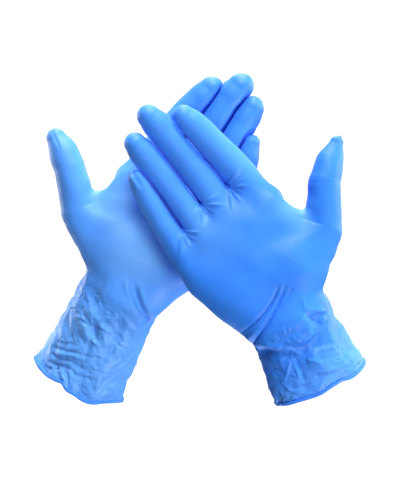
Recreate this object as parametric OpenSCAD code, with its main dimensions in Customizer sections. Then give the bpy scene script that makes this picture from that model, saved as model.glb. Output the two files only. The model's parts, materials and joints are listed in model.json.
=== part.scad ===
// A pair of thin dipped gloves, open and hand-shaped, crossed with their palms to the front.
// Each glove is drawn in its own hand frame, which starts at the middle of the wrist: +Z runs to
// the fingertips, +X to the thumb side and -Y out of the palm. The left glove is mirrored.
// The origin of the whole is the middle of the right cuff's opening. Lengths are millimetres.
// A glove is one soft film. It is cut here into stiff shells at the knuckles, so that it bends.

/* [Film] */
// Thickness of every shell
film_t = 1; // [0.8:0.1:1.4]
// Room left between two shells that turn against each other
turn_gap = 0.8; // [0.6:0.1:1]
// Thickness of the rolled bead round the cuff's opening
bead_d = 2.6; // [2:0.1:3]

/* [Cuff] */
// Width of the glove at the wrist
wrist_w = 57; // [52:1:60]
// Depth of the glove at the wrist
wrist_d = 40; // [36:1:44]
// Width of the cuff's opening
rim_w = 67; // [62:1:72]
// Depth of the cuff's opening
rim_d = 48; // [44:1:54]
// Angle by which the cuffs lean back from the palms
cuff_lean = 15; // [8:1:18]
// Length of the right cuff
right_cuff_l = 54; // [48:1:60]
// Length of the left cuff
left_cuff_l = 65; // [56:1:70]
// Sideways turn of the right cuff from the hand's own axis
right_cuff_turn = 12; // [6:1:14]
// Sideways turn of the left cuff from the hand's own axis
left_cuff_turn = 5; // [2:1:10]

/* [Hand] */
// Height of the knuckle line, where the four fingers turn together
knuckle_line = 72; // [70:0.5:74]
// Height of the webs between the fingers
web_line = 94; // [92:0.5:96]
// Outer radius of the hand at each knuckle, index finger first
knuckle_r = [12, 12.5, 11.5, 9.5]; // [9:0.5:13]
// Height of each knuckle, index finger first
knuckle_z = [71, 74, 71, 67]; // [66:0.5:75]
// Sideways place of the right glove's knuckles, index finger first
right_knuckle_x = [33.5, 7.3, -12.8, -33]; // [-36:0.1:36]
// Sideways place of the left glove's knuckles, index finger first
left_knuckle_x = [35, 10.2, -12, -34.5]; // [-36:0.1:36]

/* [Fingers] */
// Length from the knuckle to the middle joint, index finger first
base_l = [44, 49, 45, 35]; // [33:0.5:50]
// Length from the middle joint to the end joint
mid_l = [25, 28, 26, 20.5]; // [19:0.5:30]
// Length from the end joint to the fingertip
tip_l = [20.5, 23, 22, 19]; // [18:0.5:25]
// Outer radius where each finger leaves the hand
base_r = [10.8, 10, 9.2, 8.2]; // [7.5:0.1:11]
// Outer radius at the middle joint
mid_r = [10, 9.7, 8.9, 7.6]; // [7:0.1:10.5]
// Outer radius at the end joint
end_r = [8.4, 8.9, 8.3, 6.6]; // [6:0.1:9]
// Radius of the fingertip
cap_r = [6.2, 7, 6.7, 5.3]; // [5:0.1:7.5]
// Sideways lean of the right glove's fingers, towards the thumb where positive
right_splay = [-6.5, 0, 0, 4]; // [-8:0.5:12]
// Sideways lean of the left glove's fingers
left_splay = [-6, -1, 2, 8]; // [-8:0.5:12]
// Forward curl of the right glove's fingers at the knuckle, middle joint and end joint
right_curl = [4, 9, 7]; // [0:1:12]
// Forward curl of the left glove's fingers at the same joints
left_curl = [0, 4, 5]; // [0:1:8]

/* [Thumbs] */
// Sideways place of the thumb's knuckle
thumb_x = 56; // [54:0.5:58]
// Height of the thumb's knuckle
thumb_z = 32.5; // [31:0.5:34]
// Distance of the thumb's knuckle in front of the palm's middle
thumb_front = 5; // [3:0.5:8]
// Length from the thumb's knuckle to its end joint
thumb_base_l = 30; // [28:0.5:33]
// Length from the thumb's end joint to its tip
thumb_tip_l = 31; // [28:0.5:33]
// Outer radius at the thumb's knuckle, its end joint and its tip
thumb_r = [12, 10.2, 6]; // [5:0.1:13]
// Lean of the right thumb away from the fingers, at its knuckle and then at its end joint
right_thumb_lean = [38, 13]; // [5:0.5:45]
// Lean of the left thumb, at its knuckle and then at its end joint
left_thumb_lean = [43, 9]; // [5:0.5:46]
// Turn of the thumb about its own length, which sets the way that it bends
thumb_roll = -60; // [-70:1:-50]

/* [Bending] */
// Bend of the right wrist towards the palm
wrist_bend = 34; // [20:1:36]
// Bend of the right glove's knuckle line towards the palm
knuckle_bend = 56; // [40:1:60]
// Bend of the left glove's knuckle line away from the palm
knuckle_back = 24; // [15:1:26]
// Bend at each middle joint
mid_bend = 66; // [50:1:70]
// Bend at each end joint
end_bend = 42; // [30:1:45]
// Bend at the thumb's knuckle
thumb_bend = 32; // [20:1:35]
// Bend at the thumb's end joint
thumb_end_bend = 44; // [30:1:48]

/* [Placing] */
// Lean of the right hand to the left
right_tilt = 37; // [34:1:40]
// Lean of the left hand to the right
left_tilt = 32; // [29:1:35]
// From the right wrist to the left wrist
wrist_to_wrist = [-113, 34, 13]; // [-116:1:38]

/* [Hidden] */
$fn = 48;
fingers = ["index", "middle", "ring", "little"];
hull_fn = 28;
// The cuff's wall stands on the middle of the bead
rim_step = bead_d - film_t;
// Room left past the ends of a cut
over = 2;
glove_blue = [0.24, 0.56, 0.95];
bead_blue = [0.30, 0.62, 0.97];

// What differs between the two gloves, in one list each
// [knuckle_x, splay, curl, thumb lean, cuff length, cuff turn, forward and back bend at the knuckles,
//  forward and back bend at the wrist]
right_glove = [right_knuckle_x, right_splay, right_curl, right_thumb_lean, right_cuff_l,
  right_cuff_turn, [knuckle_bend, 0], [wrist_bend, 0]];
left_glove = [left_knuckle_x, left_splay, left_curl, left_thumb_lean, left_cuff_l,
  left_cuff_turn, [0, knuckle_back], [0, wrist_bend]];
function knuckle_x(g) = g[0];
function splay(g) = g[1];
function curl(g) = g[2];
function thumb_lean(g) = g[3];
function cuff_l(g) = g[4];
function cuff_turn(g) = g[5];
function knuckle_range(g) = g[6];
function wrist_range(g) = g[7];
// Bends counted from a straight digit: what the digit has at rest is added
function mid_range(g) = [mid_bend + curl(g)[1], 0];
function end_range(g) = [end_bend + curl(g)[2], 0];
function thumb_end_range(g) = [thumb_end_bend - thumb_lean(g)[1], thumb_lean(g)[1]];

// Both wrists, from the middle of the right cuff's opening
cuff_way = right_tilt - right_cuff_turn;
right_wrist = right_cuff_l * [
  -cos(cuff_lean) * sin(cuff_way), -sin(cuff_lean), cos(cuff_lean) * cos(cuff_way)];
left_wrist = right_wrist + wrist_to_wrist;

module on_right() {
  translate(right_wrist) rotate([0, -right_tilt, 0]) children();
}

module on_left() {
  translate(left_wrist) rotate([0, left_tilt, 0]) mirror([1, 0, 0]) children();
}

// ---- Frames along a digit ----

module at_knuckle(g, i) {
  translate([knuckle_x(g)[i], 0, knuckle_z[i]]) rotate([curl(g)[0], splay(g)[i], 0]) children();
}

module at_mid_joint(g, i) {
  at_knuckle(g, i) translate([0, 0, base_l[i]]) rotate([curl(g)[1], 0, 0]) children();
}

module at_end_joint(g, i) {
  at_mid_joint(g, i) translate([0, 0, mid_l[i]]) rotate([curl(g)[2], 0, 0]) children();
}

module at_thumb(g) {
  translate([thumb_x, -thumb_front, thumb_z]) rotate([0, thumb_lean(g)[0], 0])
    rotate([0, 0, thumb_roll]) children();
}

module at_thumb_end(g) {
  at_thumb(g) translate([0, 0, thumb_base_l]) rotate([-thumb_lean(g)[1], 0, 0]) children();
}

module at_cuff(g) {
  rotate([cuff_lean, cuff_turn(g), 0]) children();
}

// ---- Shapes that repeat ----

// The space past a hinge on the X axis that a shell may fill, from z = 0 up to reach.
// The face is cut back by half the bend, forward and back, so that two shells meet at full bend.
module past_hinge(bend, half_w, half_d, reach) {
  front = turn_gap / 2 + half_d * tan(bend[0] / 2);
  back = turn_gap / 2 + half_d * tan(bend[1] / 2);
  rotate([90, 0, 90]) linear_extrude(2 * half_w, center = true)
    polygon([[-half_d, front], [0, turn_gap / 2], [half_d, back], [half_d, reach], [-half_d, reach]]);
}

// The same space on the near side of a hinge, below z = 0
module before_hinge(bend, half_w, half_d, reach) {
  mirror([0, 0, 1]) past_hinge(bend, half_w, half_d, reach);
}

// An open tapered stall from one joint to the next, with the [forward, back] bend at each
module open_stall(l, r0, r1, near, far) {
  half = max(r0, r1) + over;
  intersection() {
    difference() {
      cylinder(h = l, r1 = r0, r2 = r1);
      cylinder(h = l, r1 = r0 - film_t, r2 = r1 - film_t);
    }
    past_hinge(near, half, half, l);
    translate([0, 0, l]) before_hinge(far, half, half, l);
  }
}

// A stall with a round closed end
module closed_stall(l, r0, r1, near) {
  half = r0 + over;
  intersection() {
    difference() {
      union() {
        cylinder(h = l - r1, r1 = r0, r2 = r1);
        translate([0, 0, l - r1]) sphere(r1);
      }
      cylinder(h = l - r1, r1 = r0 - film_t, r2 = r1 - film_t);
      translate([0, 0, l - r1]) sphere(r1 - film_t);
    }
    past_hinge(near, half, half, l + over);
  }
}

// A thin oval slice across the hand or the cuff. An inner one is thicker, to cut right through.
module oval(w, d, inset) {
  scale([1, (d - 2 * inset) / (w - 2 * inset), 1])
    cylinder(h = 0.5 + 2 * inset, d = w - 2 * inset, center = true);
}

// ---- The hand ----

module palm_body(g, inset) {
  hull() {
    oval(wrist_w, wrist_d, inset);
    for (i = [0:3])
      translate([knuckle_x(g)[i], 0, knuckle_z[i]]) sphere(knuckle_r[i] - inset, $fn = hull_fn);
    translate([-24, -3, 28]) sphere(16 - inset, $fn = hull_fn);
  }
  hull() {
    translate([12, -3, 14]) sphere(16 - inset, $fn = hull_fn);
    translate([34, -5, 30]) sphere(15 - inset, $fn = hull_fn);
    translate([thumb_x, -thumb_front, thumb_z]) sphere(thumb_r[0] - inset, $fn = hull_fn);
  }
}

// A block round the thumb from its knuckle outwards
module thumb_room(g) {
  at_thumb(g) difference() {
    translate([-18, -20, -20]) cube([36, 40, 60]);
    mirror([0, 0, 1]) past_hinge([thumb_bend, 0], 19, 21, 40);
  }
}

module palm(g) {
  color(glove_blue) difference() {
    intersection() {
      palm_body(g, 0);
      past_hinge(wrist_range(g), 80, 30, 100);
      translate([0, 0, knuckle_line]) before_hinge(knuckle_range(g), 80, 30, 100);
    }
    palm_body(g, film_t);
    thumb_room(g);
  }
}

module knuckle_body(g, inset) {
  hull() {
    for (i = [0:3]) {
      translate([knuckle_x(g)[i], 0, knuckle_z[i]]) sphere(knuckle_r[i] - inset, $fn = hull_fn);
      at_knuckle(g, i) translate([0, 0, web_line - knuckle_z[i]])
        sphere(base_r[i] + 0.8 - inset, $fn = hull_fn);
    }
  }
}

module knuckles(g) {
  color(glove_blue) difference() {
    intersection() {
      knuckle_body(g, 0);
      translate([0, 0, knuckle_line])
        past_hinge(knuckle_range(g), 60, 30, web_line - knuckle_line);
    }
    intersection() {
      knuckle_body(g, film_t);
      translate([-60, -30, 0]) cube([120, 60, web_line - film_t]);
    }
    for (i = [0:3])
      at_knuckle(g, i) cylinder(h = base_l[i], r = base_r[i] - film_t);
  }
}

module finger_base(g, i) {
  color(glove_blue) intersection() {
    at_knuckle(g, i) open_stall(base_l[i], base_r[i], mid_r[i], [0, 0], mid_range(g));
    translate([-60, -40, web_line]) cube([120, 80, 80]);
  }
}

module finger_mid(g, i) {
  color(glove_blue) at_mid_joint(g, i)
    open_stall(mid_l[i], mid_r[i], end_r[i], mid_range(g), end_range(g));
}

module finger_tip(g, i) {
  color(glove_blue) at_end_joint(g, i) closed_stall(tip_l[i], end_r[i], cap_r[i], end_range(g));
}

module thumb_base(g) {
  color(glove_blue) at_thumb(g)
    open_stall(thumb_base_l, thumb_r[0], thumb_r[1], [thumb_bend, 0], thumb_end_range(g));
}

module thumb_tip(g) {
  color(glove_blue) at_thumb_end(g)
    closed_stall(thumb_tip_l, thumb_r[1], thumb_r[2], thumb_end_range(g));
}

// ---- The cuff ----

module cuff_body(g, inset) {
  hull() {
    oval(wrist_w, wrist_d, inset);
    at_cuff(g) translate([0, 0, bead_d + 0.25 - cuff_l(g)])
      oval(rim_w - rim_step, rim_d - rim_step, inset);
  }
}

module cuff(g) {
  color(glove_blue) difference() {
    intersection() {
      cuff_body(g, 0);
      before_hinge(wrist_range(g), 60, 40, 100);
    }
    cuff_body(g, film_t);
  }
}

module cuff_bead(g) {
  color(bead_blue) at_cuff(g) translate([0, 0, bead_d / 2 - cuff_l(g)])
    resize([rim_w, rim_d, bead_d]) rotate_extrude($fn = 48)
      translate([(rim_w - bead_d) / 2, 0]) rotate(15) circle(d = bead_d, $fn = 12);
}

// ---- Nodes ----

module glove(side, g) {
  cuff_bead(g);
  cuff(g);
  palm(g);
  knuckles(g);
  for (i = [0:3]) {
    finger_base(g, i);
    finger_mid(g, i);
    finger_tip(g, i);
  }
  thumb_base(g);
  thumb_tip(g);
}

on_right() glove("right", right_glove);
on_left() glove("left", left_glove);
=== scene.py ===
import json
import math
import bmesh
import bpy
import numpy as np
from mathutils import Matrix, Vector


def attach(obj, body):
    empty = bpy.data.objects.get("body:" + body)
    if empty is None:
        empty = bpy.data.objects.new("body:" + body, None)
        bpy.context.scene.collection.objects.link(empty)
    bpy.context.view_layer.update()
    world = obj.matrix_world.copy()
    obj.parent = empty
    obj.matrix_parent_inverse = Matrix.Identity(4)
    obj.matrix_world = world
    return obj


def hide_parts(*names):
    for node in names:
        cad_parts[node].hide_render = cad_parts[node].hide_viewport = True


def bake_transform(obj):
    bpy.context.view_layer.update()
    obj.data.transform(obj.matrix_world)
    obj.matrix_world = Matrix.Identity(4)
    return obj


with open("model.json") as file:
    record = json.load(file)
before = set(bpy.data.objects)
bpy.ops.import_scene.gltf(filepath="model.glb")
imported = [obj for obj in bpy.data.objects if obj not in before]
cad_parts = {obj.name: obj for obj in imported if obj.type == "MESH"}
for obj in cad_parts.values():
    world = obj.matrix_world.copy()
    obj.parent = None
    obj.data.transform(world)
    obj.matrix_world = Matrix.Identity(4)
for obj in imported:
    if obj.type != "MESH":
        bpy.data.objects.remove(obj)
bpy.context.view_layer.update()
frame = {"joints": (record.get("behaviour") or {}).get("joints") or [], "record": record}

# A pair of thin nitrile gloves, each one film that keeps the shape of the hand that wears it.
# Lengths are millimetres here, in each hand's own frame: x to the thumb, y to the back of the hand,
# z to the fingertips, from the middle of the wrist. Blender gets metres in the row frame.

# The grid of the film's mesh, and the film's thickness
STEP = 0.8
FILM = 0.35
FINGERS = ("index", "middle", "ring", "little")
JOINTS = {j["name"]: j for j in frame["joints"]}
MOUNTS = {m["name"]: m for m in frame["record"]["mounts"]}


def unit(v):
    v = np.asarray(v, float)
    return v / np.linalg.norm(v)


def turned(v, axis, degrees):
    """v turned about axis by the right-hand rule"""
    a, k = math.radians(degrees), unit(axis)
    return v * math.cos(a) + np.cross(k, v) * math.sin(a) + k * (k @ v) * (1 - math.cos(a))


def smooth(a, b, x):
    t = np.clip((x - a) / (b - a), 0, 1)
    return t * t * (3 - 2 * t)


# ---- The skeleton, from the frame's joints and mounts ----

KNUCKLE_Z = (71, 74, 71, 67)
# Reach of each fingertip past its end joint, the curl there, and how far the tips lean in
TIP = {"right": (17.6, 20.2, 19.8, 19), "left": (20.4, 22, 23.2, 20)}
TIP_IN = {"right": (-2.2, -3.3, -0.8, 1.6), "left": (-3.6, -2.6, 0, 4.6)}
# How far each finger's film lies to the thumb's side of its joints
ASIDE = {"right": (0, 0, 0, 0), "left": (-0.7, -0.3, 0.2, 0.8)}
END_CURL = {"right": 7, "left": 5}
# Reach of the thumb's tip past its end joint, and how far it is bent back there, in degrees
THUMB_TIP = {"right": 31.5, "left": 29.5}
THUMB_BACK = {"right": -20.5, "left": -15.5}
# The root of the thumb in the palm, and how far the film lies off the thumb's two joints
THUMB_ROOT_AT = (26.2, -4, 22.5)
THUMB_OFF = {"right": ((-1, 0, 0), (-1.2, 0, 0.8)), "left": ((0, 0, 0), (0.4, 0, 0))}
# How far the middle of the rim lies to the thumb's side of its mount
RIM_ASIDE = {"right": 0, "left": 0.9}
# Radii at the root, the middle joint, the end joint, half way to the tip, and at the tip
DIGIT_R = {
    "right": {"index": (11.2, 10.7, 9.9, 9.3, 7.6), "middle": (10.9, 10.5, 9.8, 9.4, 7.8),
              "ring": (10.3, 9.8, 9.2, 8.8, 7.3), "little": (9.6, 8.6, 7.5, 6.8, 5.2),
              "thumb": (17.2, 11.8, 10.6, 9.3, 4.6)},
    "left": {"index": (11.6, 11.3, 10.5, 10.1, 8.4), "middle": (11.3, 11.1, 10.6, 10.4, 8.9),
             "ring": (10.8, 10.4, 10.1, 9.8, 8.2), "little": (9.8, 9.0, 8.2, 7.9, 6.6),
             "thumb": (17.2, 12.1, 10.7, 10.2, 6.8)}}


def tapered(joints, radii):
    """A digit's centre line, how far along each of its points is, and a smooth radius along it"""
    tip = joints[3] - unit(joints[3] - joints[2]) * radii[4]
    points = [*joints[:3], (joints[2] + tip) / 2, tip]
    at = np.concatenate([[0], np.cumsum([np.linalg.norm(b - a) for a, b in zip(points, points[1:])])])
    fine = np.linspace(0, at[-1], 60)
    slope = np.gradient(radii, at)
    k = np.clip(np.searchsorted(at, fine) - 1, 0, 3)
    h = at[k + 1] - at[k]
    t = (fine - at[k]) / h
    r = np.array(radii)
    radius = ((2 * t**3 - 3 * t**2 + 1) * r[k] + (t**3 - 2 * t**2 + t) * h * slope[k]
              + (3 * t**2 - 2 * t**3) * r[k + 1] + (t**3 - t**2) * h * slope[k + 1])
    return points, at, fine, radius


class Hand:
    """One hand's own frame, the centre lines of its digits, and the rim of its cuff"""
    def __init__(self, side):
        self.side = side
        wrist, line = JOINTS[side + "_wrist_bend"], JOINTS[side + "_knuckles_bend"]
        self.o = np.array(wrist["pos_m"], float) * 1000
        z = unit(np.array(line["pos_m"], float) * 1000 - self.o)
        k = unit(wrist["axis"])
        y = -unit(np.cross(k, z))
        x = k if side == "right" else -k
        self.b = np.stack([x, y, z], axis=1)
        self.digit, self.bend_axis = {}, {}
        for i, f in enumerate(FINGERS):
            mid, end = self.joint(f + "_middle_bend"), self.joint(f + "_end_bend")
            a = self.axis(f + "_middle_bend")
            # The knuckle lies in the finger's own plane: through the middle joint, square to its axis
            z = KNUCKLE_Z[i]
            base = np.array([mid[0] - ((0 - mid[1]) * a[1] + (z - mid[2]) * a[2]) / a[0], 0, z])
            mid, end = mid + [ASIDE[side][i], 0, 0], end + [ASIDE[side][i], 0, 0]
            d = turned(unit(end - mid), a, END_CURL[side])
            tip = end + d * TIP[side][i] + [TIP_IN[side][i], 0, 0]
            self.digit[f] = [base, mid, end + [TIP_IN[side][i] * 0.3, 0, 0], tip]
        mcp, ip = self.joint("thumb_bend"), self.joint("thumb_end_bend")
        mcp, ip = mcp + THUMB_OFF[side][0], ip + THUMB_OFF[side][1]
        d = turned(unit(ip - mcp), self.axis("thumb_bend"), THUMB_BACK[side])
        self.digit["thumb"] = [np.array(THUMB_ROOT_AT), mcp, ip, ip + d * THUMB_TIP[side]]
        self.line = {name: tapered(j, DIGIT_R[side][name]) for name, j in self.digit.items()}
        rim = MOUNTS[side + "_cuff_opening"]
        self.rim = self.local(np.array(rim["pos_m"], float) * 1000) + [RIM_ASIDE[side], 0, 0]
        self.rim_out = unit(np.array(rim["axis"], float) @ self.b)

    def local(self, p):
        return (np.asarray(p, float) - self.o) @ self.b

    def world(self, p):
        return (np.asarray(p, float) @ self.b.T + self.o) * 0.001

    def joint(self, name):
        return self.local(np.array(JOINTS[f"{self.side}_{name}"]["pos_m"], float) * 1000)

    def axis(self, name):
        """The bending axis in the hand's frame, turned so that both hands flex the same way"""
        a = unit(JOINTS[f"{self.side}_{name}"]["axis"]) @ self.b
        return a if self.side == "right" else -a


# ---- The shape of a hand inside a glove ----

def capsule(p, a, b, ra, rb):
    """Distance to a rod with round ends"""
    a, b = np.asarray(a, float), np.asarray(b, float)
    ba = b - a
    t = np.clip(((p - a) @ ba) / (ba @ ba), 0, 1)
    q = p - a - t[:, None] * ba
    return np.sqrt(np.einsum("ij,ij->i", q, q)) - (ra + (rb - ra) * t)


def smin(a, b, k):
    """The smaller of two distances, joined softly over k"""
    h = np.clip(0.5 + 0.5 * (b - a) / k, 0, 1)
    return b + (a - b) * h - k * h * (1 - h)


# Half the slit between two fingers, how much that slit leans, and how high the thumb's web reaches
SLIT = 0.7
LEAN = {"right": 0.12, "left": 0.27}
WEB_UP = {"right": 4.2, "left": 6.8}
# Half axes of the cuff's oval at the wrist and at the rim
WRIST = (28.6, 20.5)
RIM = (33.4, 24.2)
# Each metacarpal's start across the wrist and its radius at the knuckle
METACARPALS = ((13, 10.8), (4, 12.2), (-6, 11.8), (-15, 10.6))
HEEL_R = {"right": 13.8, "left": 12.2}
# Height of each web between the fingers, and the radius of the bridge below it
WEB_Z = (94.0, 95.2, 89.0)
WEB_R = 7.3


def digit_distance(hand, name, p):
    """Distance to a digit, whose radius changes smoothly along its centre line"""
    points, at, fine, radius = hand.line[name]
    near, where = np.full(len(p), np.inf), np.zeros(len(p))
    for a, b, s in zip(points, points[1:], at):
        ba = b - a
        t = np.clip(((p - a) @ ba) / (ba @ ba), 0, 1)
        q = p - a - t[:, None] * ba
        d = np.einsum("ij,ij->i", q, q)
        closer = d < near
        near[closer] = d[closer]
        where[closer] = s + t[closer] * np.linalg.norm(ba)
    return np.sqrt(near) - np.interp(where, fine, radius)


def beside(hand, digits, i, p):
    """How far a point is to finger i's side of the surface half way between it and the next finger.
    That surface leans, so there is no straight look through the slit between two fingers."""
    j = hand.digit[FINGERS[i]]
    depth = p[:, 1] - np.interp(p[:, 2], [q[2] for q in j], [q[1] for q in j])
    return (digits[i + 1] - digits[i]) / 2 + LEAN[hand.side] * np.clip(depth, -5, 5)


def fingers_distance(hand, p):
    """The four fingers, with a slit between each and the next"""
    digits = [digit_distance(hand, f, p) for f in FINGERS]
    side = [beside(hand, digits, i, p) for i in range(3)]
    for i in range(3):
        digits[i] = np.maximum(digits[i], SLIT - side[i])
        digits[i + 1] = np.maximum(digits[i + 1], SLIT + side[i])
    return np.minimum.reduce(digits)


def palm_distance(hand, p, palmar):
    """Metacarpals, the heel of the hand, the webs between the fingers and the row of pads below them"""
    j = hand.digit
    q = p * [1, 0.96, 1]
    palm = None
    for f, (x, r) in zip(FINGERS, METACARPALS):
        d = capsule(q, [x, 2, 8], j[f][0] + [0, 1, 0], 15, r)
        palm = d if palm is None else smin(palm, d, 7 + 6 * palmar)
    heel = HEEL_R[hand.side]
    edge = capsule(p * [1, 1.2, 1], [-19, -2, 14], j["little"][0] + [1.8, -2, -16], heel, heel - 1.6)
    palm = smin(palm, edge, 8 + 6 * palmar)
    for i in range(3):
        a, b = j[FINGERS[i]], j[FINGERS[i + 1]]
        z = WEB_Z[i] - 7.5
        pa = a[0] + (a[1] - a[0]) * (z - a[0][2]) / (a[1][2] - a[0][2])
        pb = b[0] + (b[1] - b[0]) * (z - b[0][2]) / (b[1][2] - b[0][2])
        palm = smin(palm, capsule(p * [1, 1.15, 1], pa, pb, WEB_R, WEB_R), 3)
    pads = capsule(p * [1, 1.25, 1], j["index"][0] + [-3, -4, 8], j["little"][0] + [2, -4, 4], 9.5, 8.5)
    return smin(palm, pads, 4)


def thumb_distance(hand, p):
    """The thumb with the ball at its root, and the web beside it"""
    t = hand.digit["thumb"]
    q = p.copy()
    q[:, 1] *= 1.04 + 0.16 * smooth(48, 25, p[:, 2])
    up = WEB_UP[hand.side]
    web = capsule(p * [1, 1.25, 1], [29, -3, 49 + up], t[1] + [-8, 0, 4 + up], 9, 8)
    return smin(digit_distance(hand, "thumb", q), web, 6)


def hand_distance(hand, p):
    """Distance to the whole glove's shape, fingers to past the rim"""
    # On the palm the film bridges the hollows of the hand, so shapes there join more softly
    palmar = smooth(1, -11, p[:, 1])
    out = smin(palm_distance(hand, p, palmar), fingers_distance(hand, p), 3.5)
    out = smin(out, thumb_distance(hand, p), 6 + 16 * palmar)
    # The film pulled taut across the middle of the palm
    flat = capsule(p * [0.58, 1.25, 1], [-1, -6.5, 33], [2.5, -4.5, 66], 15, 13)
    out = smin(out, flat, 9 + 6 * palmar)
    return smin(out, cuff_distance(hand, p), 6 + 3 * palmar)


def cuff_distance(hand, p):
    """An oval tube from the wrist to past the rim"""
    past = 8
    ba = hand.rim + hand.rim_out * past
    length = np.linalg.norm(hand.rim)
    t = (p @ ba) / (ba @ ba) * (length + past) / length
    w = smooth(0.2, 1.05, t)
    axis = unit(ba)
    # Above the wrist the tube narrows, so that it ends inside the hand
    narrow = 1 - 0.7 * smooth(-2, 26, -(p @ axis))
    a = (WRIST[0] + (RIM[0] - WRIST[0]) * w) * narrow
    b = (WRIST[1] + (RIM[1] - WRIST[1]) * w) * narrow
    c = p - (p @ axis)[:, None] * axis
    x = c @ unit(np.cross([0, 1, 0], -axis))
    y = c @ unit(np.cross(-axis, np.cross([0, 1, 0], -axis)))
    f = np.sqrt((x / a) ** 2 + (y / b) ** 2) + 1e-6
    g = np.sqrt((x / a**2) ** 2 + (y / b**2) ** 2) / f + 1e-6
    side = (f - 1) / np.maximum(g, 1 / np.maximum(a, b))
    along = p @ axis
    ends = np.maximum(along - np.linalg.norm(ba), -24 - along)
    return np.maximum(side, ends)


# ---- From the distance to a mesh: naive surface nets on the blocks near the surface ----

BLOCK = 8


def grid_points(*counts):
    return np.stack(np.meshgrid(*[np.arange(k) for k in counts], indexing="ij"), -1).reshape(-1, 3)


def sampled(dist, lo, n, h):
    """The distance on a grid: one value for a block far from the surface, every point's own near it"""
    vol = np.empty(n, np.float32)
    blocks = n // BLOCK
    at = grid_points(*blocks)
    middle = dist(lo + (at * BLOCK + (BLOCK - 1) / 2) * h)
    near = np.abs(middle) < (BLOCK - 1) * h + 3
    view = vol.reshape(blocks[0], BLOCK, blocks[1], BLOCK, blocks[2], BLOCK)
    for b, d in zip(at[~near], middle[~near]):
        view[b[0], :, b[1], :, b[2], :] = d
    own = grid_points(BLOCK, BLOCK, BLOCK)
    close = at[near]
    batch = 512
    for s in range(0, len(close), batch):
        part = close[s:s + batch]
        points = lo + (part[:, None] * BLOCK + own[None]) * h
        values = dist(points.reshape(-1, 3)).reshape(len(part), BLOCK, BLOCK, BLOCK)
        for b, v in zip(part, values):
            view[b[0], :, b[1], :, b[2], :] = v
    return vol


def crossed(vol, ax):
    """The grid edges along one axis that the surface crosses, and where it does"""
    n = vol.shape
    u, v = [k for k in range(3) if k != ax]
    first, second = [slice(None)] * 3, [slice(None)] * 3
    first[ax], second[ax] = slice(0, -1), slice(1, None)
    inside = vol < 0
    at = np.argwhere(inside[tuple(first)] != inside[tuple(second)])
    at = at[(at[:, u] > 0) & (at[:, v] > 0) & (at[:, u] < n[u] - 1) & (at[:, v] < n[v] - 1)]
    following = at.copy()
    following[:, ax] += 1
    a, b = vol[tuple(at.T)], vol[tuple(following.T)]
    where = at.astype(np.float32)
    where[:, ax] += a / (a - b)
    return at, where, a < 0


def cell_beside(at, u, v, du, dv):
    c = at.copy()
    c[:, u] -= du
    c[:, v] -= dv
    return tuple(c.T)


def surface(dist, lo, hi, h):
    """Points and quads of the surface: one point in each cell it passes, one quad round each crossed edge"""
    lo = np.array(lo, float)
    n = np.ceil((np.array(hi) - lo) / h / BLOCK).astype(int) * BLOCK
    vol = sampled(dist, lo, n, h)
    total = np.zeros(tuple(n - 1) + (3,), np.float32)
    count = np.zeros(tuple(n - 1), np.float32)
    crossings = []
    for ax in range(3):
        u, v = [k for k in range(3) if k != ax]
        at, where, outward = crossed(vol, ax)
        for du in (0, 1):
            for dv in (0, 1):
                c = cell_beside(at, u, v, du, dv)
                np.add.at(total, c, where)
                np.add.at(count, c, 1)
        crossings.append((u, v, at, outward if ax != 1 else ~outward))
    used = tuple(np.argwhere(count > 0).T)
    cell = np.full(tuple(n - 1), -1, np.int64)
    cell[used] = np.arange(len(used[0]))
    quads = []
    for u, v, at, ahead in crossings:
        q = np.stack([cell[cell_beside(at, u, v, du, dv)] for du, dv in ((1, 1), (0, 1), (0, 0), (1, 0))], 1)
        q[~ahead] = q[~ahead][:, ::-1]
        quads.append(q)
    return lo + total[used] / count[used][:, None] * h, np.concatenate(quads)


def gradient(dist, p, e=0.05):
    g = np.empty_like(p)
    for k in range(3):
        s = np.zeros(3)
        s[k] = e
        g[:, k] = dist(p + s) - dist(p - s)
    return g / np.maximum(np.linalg.norm(g, axis=1, keepdims=True), 1e-9)


def settled(dist, verts, quads, rounds):
    """Evens the mesh out and puts it back on the surface"""
    e = np.concatenate([quads[:, [0, 1]], quads[:, [1, 2]], quads[:, [2, 3]], quads[:, [3, 0]]])
    e = np.concatenate([e, e[:, ::-1]])
    number = np.bincount(e[:, 0], minlength=len(verts)).astype(float)
    for _ in range(rounds):
        total = np.stack([np.bincount(e[:, 0], verts[e[:, 1], k], len(verts)) for k in range(3)], 1)
        verts = verts + 0.5 * (total / number[:, None] - verts)
        for _ in range(2):
            n = gradient(dist, verts)
            verts = verts - n * dist(verts)[:, None]
    return verts


# ---- Noise ----

LATTICE = 4096
# Three large primes that scatter a lattice corner's place over the table
SCATTER = (73856093, 19349663, 83492791)


def lattice(seed):
    return np.random.default_rng(seed).uniform(-1, 1, LATTICE)


def corner(table, c):
    """The random value of each lattice corner"""
    h = (c[:, 0] * SCATTER[0]) ^ (c[:, 1] * SCATTER[1]) ^ (c[:, 2] * SCATTER[2])
    return table[h & (LATTICE - 1)]


def wave(p, size, seed):
    """Soft noise: random values at the corners of a lattice, with smooth steps between them"""
    q = p / size
    c = np.floor(q).astype(np.int64)
    f = q - c
    f = f * f * (3 - 2 * f)
    table, out = lattice(seed), 0
    for dx in (0, 1):
        for dy in (0, 1):
            for dz in (0, 1):
                step = np.array([dx, dy, dz])
                w = np.where(step, f, 1 - f)
                out = out + w[:, 0] * w[:, 1] * w[:, 2] * corner(table, c + step)
    return out


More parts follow.
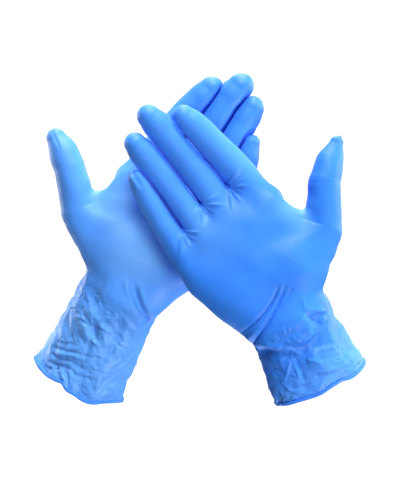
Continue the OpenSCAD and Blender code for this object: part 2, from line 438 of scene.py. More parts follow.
def facets(p, size, seed):
    """Crumpled noise: flat between the corners of tetrahedra, so it creases sharply where they meet"""
    q = p / size
    c = np.floor(q).astype(np.int64)
    f = q - c
    order = np.argsort(-f, axis=1)
    rows = np.arange(len(p))
    table = lattice(seed)
    f1, f2, f3 = (f[rows, order[:, k]] for k in range(3))
    out = (1 - f1) * corner(table, c)
    step = c.copy()
    for k, w in enumerate((f1 - f2, f2 - f3, f3)):
        step[rows, order[:, k]] += 1
        out = out + w * corner(table, step)
    return out


# ---- Folds and creases of the film ----

def crest(x, z, a, b, sag, width, fade):
    """A ridge along an arc from a to b in the x-z plane, highest in the middle"""
    a, b = np.array(a, float), np.array(b, float)
    d = b - a
    length = np.linalg.norm(d)
    d = d / length
    u = ((x - a[0]) * d[0] + (z - a[1]) * d[1]) / length
    v = -(x - a[0]) * d[1] + (z - a[1]) * d[0]
    v = v - sag * 4 * u * (1 - u)
    ends = smooth(-0.02, fade, u) * smooth(1.02, 1 - fade, u)
    return np.exp(-np.abs(v / width) ** 1.3) * ends


def fan(x, z, centre, spread, seed):
    """Short ridges that radiate from a web, where the film is pulled"""
    rng = np.random.default_rng(seed)
    dx, dz = x - centre[0], z - centre[1]
    r, a = np.hypot(dx, dz), np.degrees(np.arctan2(dx, -dz))
    out = 0
    for at in spread:
        long = rng.uniform(11, 20)
        wide = rng.uniform(0.6, 0.9)
        side = np.radians((a - at + 180) % 360 - 180) * r
        ridge = rng.uniform(0.55, 1) * np.exp(-np.abs(side / wide) ** 1.4)
        out = out + ridge * smooth(1.5, 4, r) * smooth(long, long * 0.45, r)
    return out


# Middle of each web between the fingers: x and z
WEBS = {"right": ((18.5, 94.3), (-3.5, 95.5), (-24, 88.4)), "left": ((20, 94), (-1, 95), (-21.5, 88.4))}
# Directions of the pulled wrinkles at each web, in degrees from straight down, and how high they stand
PULLS = {"right": ((75, 52, 28, 5, -22, 100), (50, 24, 2, -26, 78, -50), (20, -8, -38, 48)),
         "left": ((60, 20, -20), (40, 0, -40), (20, -20, 50))}
PULL_HEIGHT = {"right": 1.5, "left": 0.4}
# Where a hand is fuller or slimmer than its plain shapes: x, z, reach across the surface, and how far out.
# They go round each hand: the thumb's web, the thumb, wrist and cuff on its side, the little finger's side,
# and, on the left hand, the fingertips
SWELLS = {
    "right": ((44, 80, 9, -1.3), (45, 58, 8, 1), (53, 52, 6, 2), (63, 61, 7, 1), (80, 75, 7, 1.2),
              (100, 76, 5, 0.8), (89, 58, 5, -0.5), (64, 26, 5, -0.7), (58, 20, 5, 0.9), (49, 13, 8, 2.6),
              (39, 6, 7, 1.8), (24, -27, 9, -0.9), (23, -43, 8, -0.7),
              (-36, 22, 10, 0.7), (-30, -2, 8, 1.2), (-33, -16, 8, 0.9), (-38, -30, 8, 0.7)),
    "left": ((46, 72, 6, 0.9), (46, 62, 6, 1.3), (59, 54, 6, 1.2), (84, 72, 6, 0.7), (94, 56, 6, -0.6),
             (55, 18, 6, 1.4), (46, 14, 7, 1.9), (38, 8, 6, 1.0), (30, 3, 5, -0.6), (28, -8, 7, 1.0),
             (27, -31, 10, 1.1), (26, -45, 9, 0.5),
             (-32, 12, 9, -1.0), (-30, -2, 6, -0.8), (-29, -7, 8, -1.0), (-27, 135, 8, -0.8),
             (-17, 146, 8, -1.3), (-13, 162, 7, -1.2), (5, 173, 6, 0.8), (20, 159, 6, 1.0),
             (36, 144, 8, -0.7))}
# Folds and creases of the cuffs' fronts: from x, z to x, z, how far the middle is off the straight line,
# the width and the height
FOLDS = {
    "right": (((-36, -2), (10, 18), -2.4, 1.2, -2.3), ((-35, 10), (8, 21), -4.4, 1.1, -1.7),
              ((-35, 4), (9, 20), -3.6, 1.5, 1.5), ((-6, 7), (13, 14), -0.5, 1.0, -0.7),
              ((-28, -2), (-8, -29), 1.8, 1.9, 1.9), ((-29, -6), (-13, -27), 1.0, 2.4, -1.3),
              ((13, -9), (-2, -28), 0, 0.8, -0.9), ((14, 5), (10, -4), 0, 1.6, 0.8),
              ((10, -4), (21, -13), 0.5, 1.5, 1.1), ((8, -5), (14, -18), -1, 1.4, -0.9),
              ((-17, -24), (-31, -35), 0, 1.2, 1.0), ((-17, -24), (-21, -39), 0.5, 1.2, 1.1),
              ((-15, -24), (-19, -44), 0, 2.0, -1.1), ((-10, -30), (-2, -40), 1, 1.4, 0.8),
              ((-12, -44), (3, -51), -0.5, 0.8, -0.8), ((-9, -42), (4, -48), -0.5, 0.9, 0.6),
              ((-37, -37), (21, -52), -3.8, 0.8, -0.45), ((4, -40), (24, -46), 0.5, 0.8, -0.4)),
    "left": (((-35, -9), (-3, 11), -2.6, 1.2, -2.2), ((-24, -8), (0, 8), -1.5, 1.0, -1.2),
             ((-34, -5), (-5, 14), -2.6, 1.4, 1.2), ((-10, 0), (5, 11), -1.2, 1.7, 0.9),
             ((27, -9), (10, -23), -1, 1.5, 0.8), ((12, 4), (9, -22), 1, 1.5, 0.6),
             ((6, -30), (-4, -27), 0.5, 0.9, -1.0), ((6, -30), (16, -29), -0.6, 0.9, -1.0),
             ((6, -30), (2, -22), 0, 0.9, -0.8), ((3, -26), (-9, -26), 0.8, 1.2, 0.8),
             ((24, -53), (-7, -45), 0.6, 0.8, -1.0), ((23, -55), (-4, -48), 0.6, 0.9, 0.7),
             ((24, -57), (-10, -52), 0.4, 0.8, -1.0), ((22, -59), (4, -56), 0.4, 0.8, 0.6),
             ((23, -61), (-3, -57), 0.5, 0.8, -0.9), ((4, -60), (-18, -52), 0.5, 0.9, -0.8),
             ((24, -50), (8, -45), 0, 0.8, -0.6), ((22, -65), (10, -62), 0, 0.8, -0.7),
             ((13, -60), (1, -70), 0.5, 1.4, -0.9), ((7, -58), (-4, -68), 0.5, 1.3, -0.8),
             ((10, -60), (-1, -69), 0.5, 1.2, 0.8), ((-32, -48), (-30, -63), 0.5, 1.1, -0.7))}
# Broad dents there: x, z, reach and height
DENTS = {"right": ((-21, -32, 7, -1.0), (12, -10, 5, -1.0)), "left": ((18, -5, 9, -1.7), (12, -15, 6, -1.0))}
# Each rim: how much lower its near edge hangs, how far all of it drops, and how far round the low place is
HANG = {"right": (-1.6, -0.3, 0), "left": (5.5, 6, 0.5)}
# Where the near edge of the rim is higher or lower than that: x, reach and shift
PINCHES = {"right": ((-32, 9, -0.9),), "left": ((-6, 7, -2.6), (17, 8, 2.2), (-20, 6, 1.2))}
# How loose the film is at a fingertip
LOOSE = {"right": {"little": 0.75, "thumb": 0.7}, "left": {"little": 0.375, "thumb": 0.35}}


def swelling(side, x, z):
    out = 0
    for at_x, at_z, reach, amount in SWELLS[side]:
        out = out + amount * np.exp(-((x - at_x) ** 2 + (z - at_z) ** 2) / reach**2)
    return out


def crumple(hand, p, warp, seed):
    """The slack cuff: facets of three sizes, drawn out round the cuff and bent by a soft warp"""
    lean = math.radians(24 if hand.side == "right" else -20)
    c, s = math.cos(lean), math.sin(lean)
    q = (p + 3.2 * warp) @ np.array([[c, 0, s], [0, 1, 0], [-s, 0, c]]) * [0.85, 0.9, 1.0]
    out = 2.5 * facets(q, 15, seed + 5) + 1.4 * facets(q[:, [1, 2, 0]] * [1, 1.2, 0.8] + 3, 7.5, seed + 6)
    out = out + 0.6 * facets(q, 3.6, seed + 7)
    # Thin raised creases
    for size, high, k in ((13, 1.2, 30), (9, 0.9, 31)):
        line = np.exp(-np.abs(facets(q[:, [2, 0, 1]] + 7 * k, size, seed + k)) / 0.09)
        out = out + high * line * smooth(-0.1, 0.5, wave(p, 13, seed + k + 2))
    return out * (0.55 + 0.45 * smooth(-0.4, 0.4, wave(p, 24, seed + 9)))


def flutes(hand, p, warp, down, around, seed):
    """Long flutes from the wrist that fade towards the rim, and fine creases round the cuff close to it"""
    flute = np.sin(around * 7 + 2.2 * warp[:, 0] + 3 * down) * smooth(1.0, 0.35, down)
    ring = np.sin((down * np.linalg.norm(hand.rim) + 2.6 * warp[:, 1]) * 2.3) * smooth(0.35, 0.8, down)
    return 0.55 * flute + 0.08 * ring * smooth(-0.35, 0.35, wave(p * [1, 1, 2], 8, seed + 8))


def laid_folds(side, x, z):
    """Folds and dents that lie across the front of the wrist and the cuff"""
    out = 0
    for start, end, sag, width, high in FOLDS[side]:
        out = out + high * crest(x, z, start, end, sag, width, 0.2)
    for at_x, at_z, reach, high in DENTS[side]:
        out = out + high * np.exp(-(((x - at_x) ** 2 + (z - at_z) ** 2) / reach**2) ** 1.5)
    return out


def web_wrinkles(side, x, z, seed):
    out = 0
    for k in range(3):
        out = out + PULL_HEIGHT[side] * fan(x, z, WEBS[side][k], PULLS[side][k], seed + k)
    return out


def joint_creases(joints, p, shift):
    """Two shallow creases across each of these joints of a digit"""
    out = 0
    for at, toward, deep in joints:
        s = (p - at) @ unit(at - toward) + shift
        for off in (-1.7, 1.4):
            out = out - deep * np.exp(-((s + off) / 0.8) ** 2)
    return out


def loose_tip(j, p, seed):
    """Lengthwise folds and a hollow at a fingertip that the finger doesn't fill"""
    d = unit(j[3] - j[2])
    u, v = (p - j[2]) @ d, (p - j[2]) @ unit(np.cross(d, [0, 1, 0]))
    reach = np.linalg.norm(j[3] - j[2])
    rng = np.random.default_rng(seed)
    out = -0.5 * smooth(3.5, 0, np.abs(v))
    for _ in range(3):
        c = rng.uniform(-2.6, 2.6) + rng.uniform(-0.12, 0.12) * (u - reach * 0.6)
        out = out + rng.uniform(0.5, 1) * np.exp(-np.abs((v - c) / 0.75) ** 1.5)
    return out * smooth(reach * 0.25, reach * 0.7, u)


def digit_relief(hand, f, p, front, shift, seed):
    """Creases at a digit's joints, and the folds of its tip where the film is loose"""
    j = hand.digit[f]
    if f == "thumb":
        near = smooth(24, 16, np.abs((p - j[2]) @ unit(np.cross(j[3] - j[1], [0, 1, 0]))))
        joints = ((j[2], j[1], 0.08),)
    else:
        near = smooth(13, 8, np.abs(p[:, 0] - np.interp(p[:, 2], [j[0][2], j[3][2]], [j[0][0], j[3][0]])))
        joints = ((j[1], j[0], 0.1), (j[2], j[1], 0.08))
    out = front * joint_creases(joints, p, shift)
    if f in LOOSE[hand.side]:
        out = out + LOOSE[hand.side][f] * loose_tip(j, p, seed)
    return near * out


def rim_shift(side, x, down, front, around, seed):
    """How far the rim moves along the cuff: its near edge hangs, and the hem is a little wavy"""
    hang, drop, aside = HANG[side]
    out = drop + hang * smooth(0.2, 1, np.cos(around + aside))
    out = out + 0.3 * np.sin(around * 3 + seed) + 0.2 * np.sin(around * 7 + 2 * seed)
    for at_x, reach, shift in PINCHES[side]:
        out = out + front * shift * np.exp(-(((x - at_x) / reach) ** 2))
    return smooth(0.45, 1, down) * out


def relief(hand, p, n):
    """How far the film stands off the hand at each point, and a shift of the rim along the cuff"""
    x, _, z = p.T
    side = hand.side
    seed = 10 if side == "right" else 60
    front = smooth(0.15, -0.35, n[:, 1])
    # From the wrist to the rim, 0 to 1, and round the cuff
    down = p @ hand.rim_out / np.linalg.norm(hand.rim)
    around = np.arctan2(x + 3, -p[:, 1])
    warp = np.stack([wave(p, 17, seed + k) for k in (2, 3, 4)], 1)
    # Gentle unevenness of the tight film, then the slack cuff
    out = 0.35 * wave(p, 21, seed) + 0.14 * wave(p, 9, seed + 1) + swelling(side, x, z)
    slack = crumple(hand, p, warp, seed) + flutes(hand, p, warp, down, around, seed)
    out = out + smooth(-0.1, 0.28, down) * slack
    out = out + front * (laid_folds(side, x, z) + web_wrinkles(side, x, z, seed + 20))
    for i, f in enumerate(FINGERS + ("thumb",)):
        out = out + digit_relief(hand, f, p, front, 0.7 * warp[:, 2], seed + 40 + i)
    return out, rim_shift(side, x, down, front, around, seed)


# ---- Cutting the mesh where its pieces meet ----

def cut(verts, tris, chosen, point, normal):
    """Splits the chosen triangles along a plane and keeps both sides"""
    n = unit(normal)
    s = (verts - point) @ n
    # Points on the plane are nudged off it, so that no sliver is left
    nudge = 0.03
    near = np.zeros(len(verts), bool)
    near[tris[chosen]] = True
    near &= np.abs(s) < nudge
    verts = verts + np.where(near, nudge - s, 0)[:, None] * n
    s = np.where(near, nudge, s)
    above = s[tris] > 0
    n_above = above.sum(1)
    hit = chosen & (n_above > 0) & (n_above < 3)
    if not hit.any():
        return verts, tris
    t, ab = tris[hit], above[hit]
    alone_above = ab.sum(1) == 1
    lone = np.where(alone_above, ab.argmax(1), (~ab).argmax(1))
    rows = np.arange(len(t))
    v0, v1, v2 = t[rows, lone], t[rows, (lone + 1) % 3], t[rows, (lone + 2) % 3]
    e = np.sort(np.concatenate([np.stack([v0, v1], 1), np.stack([v0, v2], 1)]), 1)
    # One new point for each edge that is cut, shared by the triangles on both its sides
    key, back = np.unique(e[:, 0] * len(verts) + e[:, 1], return_inverse=True)
    a, b = key // len(verts), key % len(verts)
    w = (s[a] / (s[a] - s[b]))[:, None]
    new = verts[a] * (1 - w) + verts[b] * w
    i01, i02 = back[:len(t)] + len(verts), back[len(t):] + len(verts)
    corners = ((v0, i01, i02), (i01, v1, v2), (i01, v2, i02))
    made = np.concatenate([np.stack(c, 1) for c in corners])
    return np.concatenate([verts, new]), np.concatenate([tris[~hit], made])


def vertex_normals(verts, tris):
    a, b, c = verts[tris[:, 0]], verts[tris[:, 1]], verts[tris[:, 2]]
    f = np.cross(b - a, c - a)
    n = np.stack([sum(np.bincount(tris[:, k], f[:, ax], len(verts)) for k in range(3)) for ax in range(3)], 1)
    return n / np.maximum(np.linalg.norm(n, axis=1, keepdims=True), 1e-12)


# Where the thumb parts from the hand, the plane it is cut off at, the cuts of the wrist and the palm,
# and how far the rim's cut is above the opening
CROTCH = {"right": np.array([47.5, -4, 50.4]), "left": np.array([48.5, -4, 52.5])}
THUMB_ROOT = unit([0.892, 0, 0.452])
CUFF_CUT, PALM_CUT = -12.0, 50.0
RIM_INSET = 1.2


def joint_planes(hand):
    """Where each finger and thumb is cut, and the ends of its bends"""
    out = {}
    for f in FINGERS:
        j = hand.digit[f]
        d0, d1, d2 = unit(j[1] - j[0]), unit(j[2] - j[1]), unit(j[3] - j[2])
        length = np.linalg.norm(j[2] - j[1])
        h = 0.36 * length
        out[f] = {"cuts": [(j[1] - d0 * (h + 2), d0), (j[1] + d1 * length * 0.52, d1)],
                  "mid": (j[1] - d0 * h, j[1] + d1 * h), "tip": (j[2] - d1 * h * 0.85, j[2] + d2 * h * 0.85)}
    j = hand.digit["thumb"]
    d1, d2 = unit(j[2] - j[1]), unit(j[3] - j[2])
    crotch, h = CROTCH[hand.side], 8
    # The bend at the root ends short of the cut near the end joint
    out["thumb"] = {"root": (crotch - THUMB_ROOT * 0.5, THUMB_ROOT), "split": (crotch, unit([0.87, 0, -0.5])),
                    "cuts": [(j[2] - d1 * (h + 2), d1)],
                    "mid": (crotch, crotch + THUMB_ROOT * 11), "tip": (j[2] - d1 * h, j[2] + d2 * h)}
    return out


def beyond(p, plane):
    return (p - plane[0]) @ unit(plane[1]) > 0


def regions(hand, p, planes):
    """Which finger each point is on above its web, or the thumb, or the hand"""
    out = np.full(len(p), "hand", dtype="<U8")
    digits = [digit_distance(hand, f, p) for f in FINGERS]
    side = [beside(hand, digits, i, p) for i in range(3)]
    web = [w[1] for w in WEBS[hand.side]]
    for i, f in enumerate(FINGERS):
        own = p[:, 2] > max(web[max(i - 1, 0):i + 1]) + 1.5
        if i:
            own &= side[i - 1] < 0
        if i < 3:
            own &= side[i] > 0
        out[own] = f
    thumb = beyond(p, planes["thumb"]["root"]) & beyond(p, planes["thumb"]["split"]) & (p[:, 2] > 0)
    out[thumb] = "thumb"
    return out


def labels(hand, p, planes):
    """The piece that each point belongs to"""
    where = regions(hand, p, planes)
    out = np.full(len(p), "palm_upper", dtype="<U12")
    out[p[:, 2] < PALM_CUT] = "palm_lower"
    out[p[:, 2] < CUFF_CUT] = "cuff"
    out[where == "thumb"] = "thumb_base"
    out[(where == "thumb") & beyond(p, planes["thumb"]["cuts"][0])] = "thumb_tip"
    for f in FINGERS:
        a, b = planes[f]["cuts"]
        out[(where == f) & beyond(p, a)] = f + "_mid"
        out[(where == f) & beyond(p, b)] = f + "_tip"
    return out


def cut_up(hand, verts, tris, planes):
    """The mesh split along every border between pieces, with the end past the rim taken off"""
    rim = (hand.rim - hand.rim_out * RIM_INSET, hand.rim_out)
    verts, tris = cut(verts, tris, np.full(len(tris), True), *rim)
    tris = tris[~beyond(verts[tris].mean(1), rim)]
    for z in (CUFF_CUT, PALM_CUT):
        verts, tris = cut(verts, tris, np.full(len(tris), True), np.array([0, 0, z]), [0, 0, 1])
    verts, tris = cut(verts, tris, verts[tris][:, :, 2].min(1) > 0, *planes["thumb"]["root"])
    near_root = beyond(verts[tris].mean(1), planes["thumb"]["root"])
    verts, tris = cut(verts, tris, near_root, *planes["thumb"]["split"])
    for f in FINGERS + ("thumb",):
        for plane in planes[f]["cuts"]:
            own = regions(hand, verts[tris].mean(1), planes) == f
            verts, tris = cut(verts, tris, own, *plane)
    return verts, tris


def triangles(verts, quads):
    """Each quad split along its shorter diagonal"""
    a, b, c, d = (verts[quads[:, k]] for k in range(4))
    short = np.linalg.norm(a - c, axis=1) < np.linalg.norm(b - d, axis=1)
    q = np.where(short[:, None], quads, np.roll(quads, 1, axis=1))
    return np.concatenate([q[:, [0, 1, 2]], q[:, [0, 2, 3]]])


# The corners of the space that one glove takes
REACH = ((-50, -38, -88), (112, 48, 182))


def film_of(hand):
    """One glove: the film's points and normals, its triangles and the piece of each, where the pieces meet,
    which points are on the rim, and where each point was before the folds"""
    def dist(p):
        return hand_distance(hand, p)
    verts, quads = surface(dist, *REACH, STEP)
    verts = settled(dist, verts, quads, 2)
    planes = joint_planes(hand)
    verts, tris = cut_up(hand, verts, triangles(verts, quads), planes)
    piece = labels(hand, verts[tris].mean(1), planes)
    used, tris = np.unique(tris, return_inverse=True)
    verts, tris = verts[used], tris.reshape(-1, 3)
    normals = gradient(dist, verts)
    out, shift = relief(hand, verts, normals)
    film = verts + normals * out[:, None] + hand.rim_out * shift[:, None]
    rim = np.abs((verts - hand.rim) @ hand.rim_out + RIM_INSET) < 1e-3
    return film, vertex_normals(film, tris), tris, piece, planes, rim, verts


# ---- Blender objects ----

def mesh_object(hand, name, points, normals, tris):
    """A mesh in the row frame, in metres, with its own shading normals"""
    if hand.side == "left":
        tris = tris[:, ::-1]
    mesh = bpy.data.meshes.new(name)
    mesh.from_pydata(hand.world(points).tolist(), [], tris.tolist())
    mesh.polygons.foreach_set("use_smooth", np.full(len(tris), True))
    if normals is not None:
        mesh.normals_split_custom_set_from_vertices((normals @ hand.b.T).tolist())
    obj = bpy.data.objects.new(name, mesh)
    bpy.context.scene.collection.objects.link(obj)
    return obj


def edges_once(tris):
    """The directed edges that only one triangle has"""
    e = np.concatenate([tris[:, [0, 1]], tris[:, [1, 2]], tris[:, [2, 0]]])
    both = np.sort(e, 1)
    key = both[:, 0] * (tris.max() + 1) + both[:, 1]
    _, first, number = np.unique(key, return_index=True, return_counts=True)
    return e[first[number == 1]]


def film_piece(hand, name, film, normals, marks, tris):
    """A piece of film with both its faces, closed along its borders"""
    used, t = np.unique(tris, return_inverse=True)
    t = t.reshape(-1, 3)
    outer, n = film[used], normals[used]
    count = len(used)
    e = edges_once(t)
    wall = np.concatenate([np.stack([e[:, 1], e[:, 0], e[:, 0] + count], 1),
                           np.stack([e[:, 1], e[:, 0] + count, e[:, 1] + count], 1)])
    points = np.concatenate([outer, outer - n * FILM])
    faces = np.concatenate([t, t[:, ::-1] + count, wall])
    obj = mesh_object(hand, name, points, np.concatenate([n, -n]), faces)
    for mark, values in marks.items():
        attribute = obj.data.attributes.new(mark, "FLOAT", "POINT")
        attribute.data.foreach_set("value", np.concatenate([values[used]] * 2).astype(np.float32))
    return obj


def rim_loop(tris, rim):
    """The points of the cut rim, in order round it"""
    e = edges_once(tris)
    e = e[rim[e].all(1)]
    after = dict(e.tolist())
    loop = [int(e[0, 0])]
    while after[loop[-1]] != loop[0]:
        loop.append(after[loop[-1]])
    return np.array(loop)


# Radius of the rolled edge
BEAD = 1.05


def closed(values, at, s):
    """Values along a closed line, taken again at other lengths along it"""
    return np.stack([np.interp(at, s, np.append(values[:, k], values[0, k])) for k in range(3)], 1)


def bead(hand, name, line, outward):
    """The rolled edge: a tube round the rim that is thicker here and there"""
    step = np.linalg.norm(np.roll(line, -1, 0) - line, axis=1)
    s = np.concatenate([[0], np.cumsum(step)])
    count = int(s[-1] / 0.9)
    at = np.linspace(0, s[-1], count, endpoint=False)
    line, outward = closed(line, at, s), closed(outward, at, s)
    for _ in range(3):
        line = (np.roll(line, 1, 0) + 2 * line + np.roll(line, -1, 0)) / 4
        outward = (np.roll(outward, 1, 0) + 2 * outward + np.roll(outward, -1, 0)) / 4
    along = np.roll(line, -1, 0) - np.roll(line, 1, 0)
    along /= np.linalg.norm(along, axis=1, keepdims=True)
    outward -= np.einsum("ij,ij->i", outward, along)[:, None] * along
    outward /= np.linalg.norm(outward, axis=1, keepdims=True)
    down = np.cross(along, outward)
    r = BEAD * (1 + 0.16 * wave(line, 9, 5) + 0.1 * wave(line, 3.5, 6))
    sides = 14
    turn = np.arange(sides) / sides * 2 * math.pi
    ring = np.cos(turn)[None, :, None] * outward[:, None] + np.sin(turn)[None, :, None] * down[:, None]
    points = (line + outward * 0.45)[:, None] + ring * r[:, None, None]
    i, k = np.meshgrid(np.arange(count), np.arange(sides), indexing="ij")
    a, b = i * sides + k, i * sides + (k + 1) % sides
    c, d = (i + 1) % count * sides + (k + 1) % sides, (i + 1) % count * sides + k
    quads = np.stack([a, b, c, d], -1).reshape(-1, 4)
    tris = np.concatenate([quads[:, [0, 1, 2]], quads[:, [0, 2, 3]]])
    points, ring = points.reshape(-1, 3), ring.reshape(-1, 3)
    p = points[tris]
    facing = np.cross(p[:, 1] - p[:, 0], p[:, 2] - p[:, 0])
    if np.einsum("ij,ij->i", facing, ring[tris[:, 0]]).sum() < 0:
        tris = tris[:, ::-1]
    return mesh_object(hand, name, points, None, tris)


# ---- Materials ----

def node(tree, kind, **settings):
    """A new node with these socket values; a value that is another node's output is linked"""
    made = tree.nodes.new("ShaderNode" + kind)
    for name, value in settings.items():
        socket = made.inputs[name.replace("_", " ")]
        if isinstance(value, bpy.types.NodeSocket):
            tree.links.new(value, socket)
        else:
            socket.default_value = value
    return made


def noise(tree, place, scale, detail):
    return node(tree, "TexNoise", Vector=place, Scale=scale, Detail=detail).outputs["Fac"]


def spread(tree, value, low, high):
    """Noise, which is mostly between 0.3 and 0.7, taken to run from low to high"""
    ranged = node(tree, "MapRange", Value=value, From_Min=0.3, From_Max=0.7, To_Min=low, To_Max=high)
    return ranged.outputs["Result"]


def mixed(tree, factor, a, b):
    mix = tree.nodes.new("ShaderNodeMix")
    mix.data_type = "RGBA"
    for socket, value in zip((mix.inputs["Factor"], mix.inputs["A"], mix.inputs["B"]), (factor, a, b)):
        if isinstance(value, tuple):
            socket.default_value = (*value, 1)
        else:
            tree.links.new(value, socket)
    return mix.outputs["Result"]


def point_value(tree, name):
    """The value that film_piece leaves on each point under this name"""
    attribute = tree.nodes.new("ShaderNodeAttribute")
    attribute.attribute_name = name
    return attribute.outputs["Fac"]


def film_bumps(tree, place):
    """Fine grain everywhere, and small sharp creases where the film is slack"""
    grain = node(tree, "Bump", Strength=0.18, Distance=0.0003, Height=noise(tree, place, 900, 4))
    ridge = node(tree, "TexNoise", Vector=place, Scale=170, Detail=3, Distortion=0.6)
    ridge.noise_type = "RIDGED_MULTIFRACTAL"
    height = tree.nodes.new("ShaderNodeMath")
    height.operation = "MULTIPLY"
    tree.links.new(ridge.outputs["Fac"], height.inputs[0])
    tree.links.new(point_value(tree, "slack"), height.inputs[1])
    crease = node(tree, "Bump", Strength=0.9, Distance=0.0012, Height=height.outputs["Value"],
                  Normal=grain.outputs["Normal"])
    return crease.outputs["Normal"]


def film_material(name, colour, pale, roughness):
    """Thin dipped nitrile: satin, a little uneven in colour and gloss, and mixed towards the pale colour by a
    value on each point: partly film pulled thin over the thumb's web, mostly painted light
    """
    m = bpy.data.materials.new(name)
    m.use_nodes = True
    tree = m.node_tree
    place = tree.nodes.new("ShaderNodeTexCoord").outputs["Object"]
    darker, lighter = tuple(0.93 * c for c in colour), tuple(min(1, 1.06 * c) for c in colour)
    film = mixed(tree, spread(tree, noise(tree, place, 38, 3), 0.0, 1.0), darker, lighter)
    gloss = spread(tree, noise(tree, place, 120, 4), roughness - 0.05, roughness + 0.06)
    shader = tree.nodes["Principled BSDF"]
    # Painted light: the base colour is mixed towards the pale colour where the lamps leave the film too dark,
    # and over the thumb's web partly for the film pulled thin
    tree.links.new(mixed(tree, point_value(tree, "stretch_and_painted_light"), film, pale), shader.inputs["Base Color"])
    tree.links.new(gloss, shader.inputs["Roughness"])
    tree.links.new(film_bumps(tree, place), shader.inputs["Normal"])
    shader.inputs["IOR"].default_value = 1.5
    shader.inputs["Specular IOR Level"].default_value = 0.3
    shader.inputs["Sheen Weight"].default_value = 0.2
    shader.inputs["Sheen Roughness"].default_value = 0.4
    shader.inputs["Sheen Tint"].default_value = (0.6, 0.8, 1, 1)
    return m


def paleness_of_stretch_and_painted_light(hand, rest):
    """How far the film's colour is mixed towards the pale colour, 0 to 1: most over the web of the thumb,
    where it is partly film pulled thin and partly a painted highlight, and some over palm, fingers and cuff,
    which is painted light that brightens places the lamps leave too dark
    """
    def blob(x, y, z, reach):
        return smooth(1.2, 0.0, np.linalg.norm((rest - (x, y, z)) * [1, 0.8, 0.9], axis=1) / reach)
    z = rest[:, 2]
    if hand.side == "right":
        # Painted light on the right glove: paler pads below the fingers, paler fingers and a paler cuff; the
        # thumb's web is partly film pulled thin, partly a painted highlight
        pads = 0.3 * blob(-10, -12, 74, 24)
        rows = 0.2 * smooth(70, 100, z) + 0.3 * smooth(-20, -50, z)
        return np.maximum(0.5 * blob(45, -8, 54, 15), pads + rows)
    # Painted light on the left glove: paler below the fingers, most in the middle of the palm, a paler cuff
    # and paler fingers; the thumb's web is partly film pulled thin, partly a painted highlight
    palm = 0.4 * smooth(105, 65, z) + 0.8 * blob(4, -15, 40, 32) + 0.2 * smooth(-5, -30, z)
    return np.clip(np.maximum(blob(33, -14, 54, 27), palm) + 0.12 * smooth(90, 110, z), 0, 1)


def glove(side, film_mat, bead_mat):
    hand = Hand(side)
    film, normals, tris, piece, planes, rim, rest = film_of(hand)
    # The first value on each point is how pale the film is painted, for painted light and for the film pulled
    # thin over the thumb's web; the second is where the film is slack
    marks = {"stretch_and_painted_light": paleness_of_stretch_and_painted_light(hand, rest), "slack": smooth(6, -16, rest[:, 2])}
    bend = {"palm_lower": ("cuff", "palm", (0, 0, -10), (0, 0, 10)),
            "palm_upper": ("palm", "knuckles", (0, 0, 61), (0, 0, 83)),
            "thumb_base": ("palm", "thumb_base", *planes["thumb"]["mid"]),
            "thumb_tip": ("thumb_base", "thumb_tip", *planes["thumb"]["tip"])}
    stands_for = {"cuff": ["cuff"], "palm_lower": ["palm"],
                  "palm_upper": ["knuckles"] + [f + "_base" for f in FINGERS],
                  "thumb_base": ["thumb_base"], "thumb_tip": ["thumb_tip"]}
    for f in FINGERS:
        bend[f + "_mid"] = ("knuckles", f + "_mid", *planes[f]["mid"])
        bend[f + "_tip"] = (f + "_mid", f + "_tip", *planes[f]["tip"])
        stands_for[f + "_mid"], stands_for[f + "_tip"] = [f + "_mid"], [f + "_tip"]
    for part, nodes in stands_for.items():
        obj = film_piece(hand, f"{side}_{part}_film", film, normals, marks, tris[piece == part])
        obj.data.materials.append(film_mat)
        if part in bend:
            a, b, start, end = bend[part]
            hand.world(start)
            hand.world(end)
            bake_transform(obj)
        else:
            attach(obj, side + "_cuff")
        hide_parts(*[f"{side}_{n}" for n in nodes])
    loop = rim_loop(tris[piece == "cuff"], rim)
    outward = film[loop] - hand.rim
    roll = bead(hand, side + "_bead", film[loop], outward)
    roll.data.materials.append(bead_mat)
    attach(roll, side + "_cuff")
    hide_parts(side + "_cuff_bead")


# ---- Camera, floor and light, in metres ----

CAMERA_DISTANCE = 1.25
# What the picture shows across, and its middle
PICTURE_WIDTH = 0.272
PICTURE_MIDDLE = (-0.0816, 0.0972)
SENSOR = 36
# Soft lights: name, direction from the gloves, size and power
LIGHT_DISTANCE = 2
MIDDLE = np.array([-0.08, 0, 0.09])
LIGHTS = (
    ("top", (0, 0, 1), 1.2, 40),
    ("front", (0, -1, 1), 0.8, 25),
    ("key", (0.4, -0.6, 1.25), 0.4, 25),
    ("low", (0.9, -1, -1), 0.8, 30),
    ("side", (1, 0, 0.2), 0.8, 20),
    ("back", (1, 0.8, 0.3), 1.5, 15),
    ("back_top", (0, 0.7, 1), 1.5, 20),
    ("under", (0, 0.5, -1), 1.5, 20),
    ("back_left", (-1, 0.8, 0.3), 1.5, 10),
    ("side_left", (-1, 0.2, 0.2), 1.5, 5))


def camera():
    cam = bpy.data.cameras.new("camera")
    cam.sensor_fit = "HORIZONTAL"
    cam.sensor_width = SENSOR
    cam.lens = SENSOR * CAMERA_DISTANCE / PICTURE_WIDTH
    obj = bpy.data.objects.new("camera", cam)
    obj.location = (PICTURE_MIDDLE[0], -CAMERA_DISTANCE, PICTURE_MIDDLE[1])
    obj.rotation_euler = (math.pi / 2, 0, 0)
    bpy.context.scene.collection.objects.link(obj)
    bpy.context.scene.camera = obj


def area(name, place, target, size, watts):
    light = bpy.data.lights.new(name, "AREA")
    light.shape = "DISK"
    light.size = size
    light.energy = watts
    obj = bpy.data.objects.new(name, light)
    obj.location = place
    obj.rotation_euler = (Vector(target) - Vector(place)).to_track_quat("-Z", "Y").to_euler()
    bpy.context.scene.collection.objects.link(obj)
    return obj


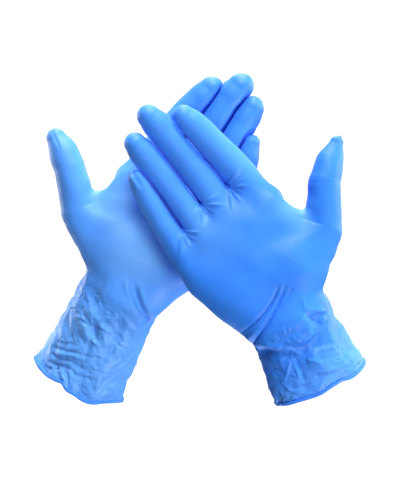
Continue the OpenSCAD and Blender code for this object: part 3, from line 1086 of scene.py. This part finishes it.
def cove():
    """A round pale floor that curves up into a wall all round; it lights nothing and blocks no light"""
    bm = bmesh.new()
    radius, corner_r, wall, floor_z = 3.2, 1.2, 3.0, -0.45
    sides, steps = 96, 12
    profile = [(0.02, floor_z), (radius - corner_r, floor_z)]
    for k in range(1, steps + 1):
        a = math.pi / 2 * k / steps
        profile.append((radius - corner_r + corner_r * math.sin(a), floor_z + corner_r * (1 - math.cos(a))))
    profile.append((radius, wall))
    turns = np.arange(sides) / sides * 2 * math.pi
    rings = [[bm.verts.new((r * math.cos(t), r * math.sin(t), z)) for t in turns] for r, z in profile]
    bm.faces.new(rings[0])
    for low, high in zip(rings, rings[1:]):
        for k in range(sides):
            bm.faces.new((low[k], low[(k + 1) % sides], high[(k + 1) % sides], high[k]))
    mesh = bpy.data.meshes.new("studio")
    bm.to_mesh(mesh)
    bm.free()
    mesh.polygons.foreach_set("use_smooth", [True] * len(mesh.polygons))
    obj = bpy.data.objects.new("studio", mesh)
    bpy.context.scene.collection.objects.link(obj)
    obj.visible_diffuse = False
    obj.visible_glossy = False
    obj.visible_shadow = False
    return obj


def cove_material():
    m = bpy.data.materials.new("studio_white")
    m.use_nodes = True
    shader = m.node_tree.nodes["Principled BSDF"]
    shader.inputs["Base Color"].default_value = (0.9, 0.9, 0.9, 1)
    shader.inputs["Roughness"].default_value = 0.9
    shader.inputs["Emission Color"].default_value = (1, 1, 1, 1)
    shader.inputs["Emission Strength"].default_value = 0.62
    return m


def studio():
    """The cove, a dim white world, and soft lights all round the gloves"""
    floor = cove()
    floor.data.materials.append(cove_material())
    world = bpy.data.worlds.new("world")
    bpy.context.scene.world = world
    world.use_nodes = True
    world.node_tree.nodes["Background"].inputs["Color"].default_value = (1, 1, 1, 1)
    world.node_tree.nodes["Background"].inputs["Strength"].default_value = 0.02
    for name, toward, size, watts in LIGHTS:
        area(name, MIDDLE + unit(toward) * LIGHT_DISTANCE, MIDDLE, size, watts)
    area("edge", np.array([-0.6, 0.3, 0.1]), np.array([-0.14, 0.02, 0.07]), 0.3, 1.2)
    bpy.context.scene.view_settings.view_transform = "Standard"


camera()
studio()
# The second colour is the pale one that the painted light, and the film pulled thin over the thumb's web, mix
# towards
film_mat = film_material("nitrile_film", (0.034, 0.228, 0.92), (0.16, 0.45, 1.0), 0.46)
bead_mat = film_material("nitrile_roll", (0.04, 0.235, 0.95), (0.04, 0.235, 0.95), 0.42)
glove("right", film_mat, bead_mat)
glove("left", film_mat, bead_mat)
